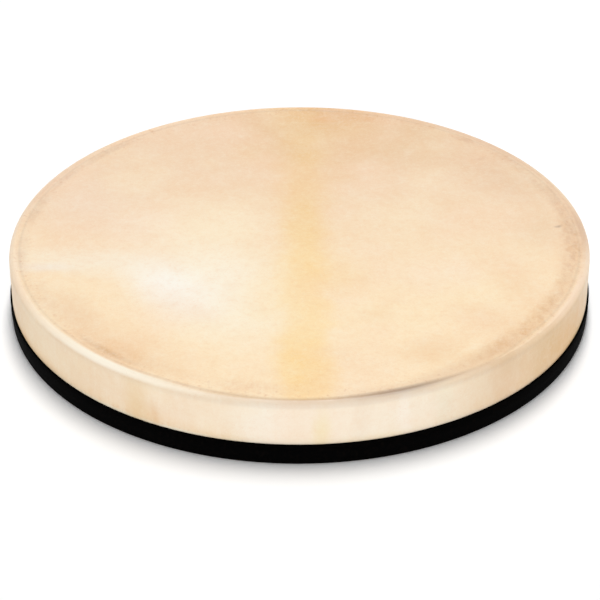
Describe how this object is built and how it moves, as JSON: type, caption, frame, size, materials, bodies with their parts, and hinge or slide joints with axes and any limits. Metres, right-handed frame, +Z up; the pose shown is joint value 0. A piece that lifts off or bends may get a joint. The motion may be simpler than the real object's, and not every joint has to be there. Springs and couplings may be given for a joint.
{
  "type": "ocean drum",
  "caption": "Shallow two-headed frame drum with loose steel shot sealed inside: goatskin above, clear film below, bent wooden hoop and black trim band.",
  "frame": {"origin": "centre of the lower head's underside, which rests on the table", "axes": "+Z up through the goatskin head, -Y towards the viewer in the picture, +X to the viewer's right, and to the side on which the rolled shot gathers"},
  "size_m": [0.5, 0.5, 0.057],
  "materials": {
    "hoop_wood": "sanded, clear sealed",
    "goatskin": "natural rawhide, satin",
    "clear_film": "clear, glossy",
    "trim": "matt black",
    "tack_steel": "blued",
    "shot_steel": "polished"
  },
  "bodies": {
    "drum": {"inner_ply": "hoop_wood", "core_ply": "hoop_wood", "outer_ply": "hoop_wood", "goatskin_head": "goatskin", "film_head": "clear_film", "trim_band": "trim", "skin_tacks": "tack_steel"},
    "lead_bead": {"lead_bead": "shot_steel"},
    "rim_beads": {"rim_beads": "shot_steel"},
    "beads_01": {"beads_01": "shot_steel"},
    "beads_02": {"beads_02": "shot_steel"},
    "beads_03": {"beads_03": "shot_steel"},
    "beads_04": {"beads_04": "shot_steel"},
    "beads_05": {"beads_05": "shot_steel"},
    "beads_06": {"beads_06": "shot_steel"},
    "beads_07": {"beads_07": "shot_steel"},
    "beads_08": {"beads_08": "shot_steel"},
    "beads_09": {"beads_09": "shot_steel"},
    "beads_10": {"beads_10": "shot_steel"},
    "beads_11": {"beads_11": "shot_steel"},
    "beads_12": {"beads_12": "shot_steel"}
  },
  "joints": [
    {"name": "fall", "type": "slide", "parent": "drum", "child": "lead_bead", "axis": [0, 0, 1], "range_m": [0, 0.0497]},
    {"name": "swirl", "type": "hinge", "parent": "lead_bead", "child": "rim_beads", "pos_m": [0, 0, 0], "axis": [0, 0, 1], "continuous": true},
    {"name": "roll_01", "type": "slide", "parent": "rim_beads", "child": "beads_01", "axis": [1, 0, 0], "range_m": [0, 0.02997]},
    {"name": "roll_02", "type": "slide", "parent": "rim_beads", "child": "beads_02", "axis": [1, 0, 0], "range_m": [0, 0.05994]},
    {"name": "roll_03", "type": "slide", "parent": "rim_beads", "child": "beads_03", "axis": [1, 0, 0], "range_m": [0, 0.08991]},
    {"name": "roll_04", "type": "slide", "parent": "rim_beads", "child": "beads_04", "axis": [1, 0, 0], "range_m": [0, 0.11988]},
    {"name": "roll_05", "type": "slide", "parent": "rim_beads", "child": "beads_05", "axis": [1, 0, 0], "range_m": [0, 0.14985]},
    {"name": "roll_06", "type": "slide", "parent": "rim_beads", "child": "beads_06", "axis": [1, 0, 0], "range_m": [0, 0.17982]},
    {"name": "roll", "type": "slide", "parent": "rim_beads", "child": "beads_07", "axis": [1, 0, 0], "range_m": [0, 0.20979]},
    {"name": "roll_08", "type": "slide", "parent": "rim_beads", "child": "beads_08", "axis": [1, 0, 0], "range_m": [0, 0.23976]},
    {"name": "roll_09", "type": "slide", "parent": "rim_beads", "child": "beads_09", "axis": [1, 0, 0], "range_m": [0, 0.26973]},
    {"name": "roll_10", "type": "slide", "parent": "rim_beads", "child": "beads_10", "axis": [1, 0, 0], "range_m": [0, 0.2997]},
    {"name": "roll_11", "type": "slide", "parent": "rim_beads", "child": "beads_11", "axis": [1, 0, 0], "range_m": [0, 0.32967]},
    {"name": "roll_12", "type": "slide", "parent": "rim_beads", "child": "beads_12", "axis": [1, 0, 0], "range_m": [0, 0.35964]}
  ],
  "couplings": [
    {"joint": "roll_01", "follows": "roll", "ratio": 0.14286},
    {"joint": "roll_02", "follows": "roll", "ratio": 0.28571},
    {"joint": "roll_03", "follows": "roll", "ratio": 0.42857},
    {"joint": "roll_04", "follows": "roll", "ratio": 0.57143},
    {"joint": "roll_05", "follows": "roll", "ratio": 0.71429},
    {"joint": "roll_06", "follows": "roll", "ratio": 0.85714},
    {"joint": "roll_08", "follows": "roll", "ratio": 1.1429},
    {"joint": "roll_09", "follows": "roll", "ratio": 1.2857},
    {"joint": "roll_10", "follows": "roll", "ratio": 1.4286},
    {"joint": "roll_11", "follows": "roll", "ratio": 1.5714},
    {"joint": "roll_12", "follows": "roll", "ratio": 1.7143}
  ]
}
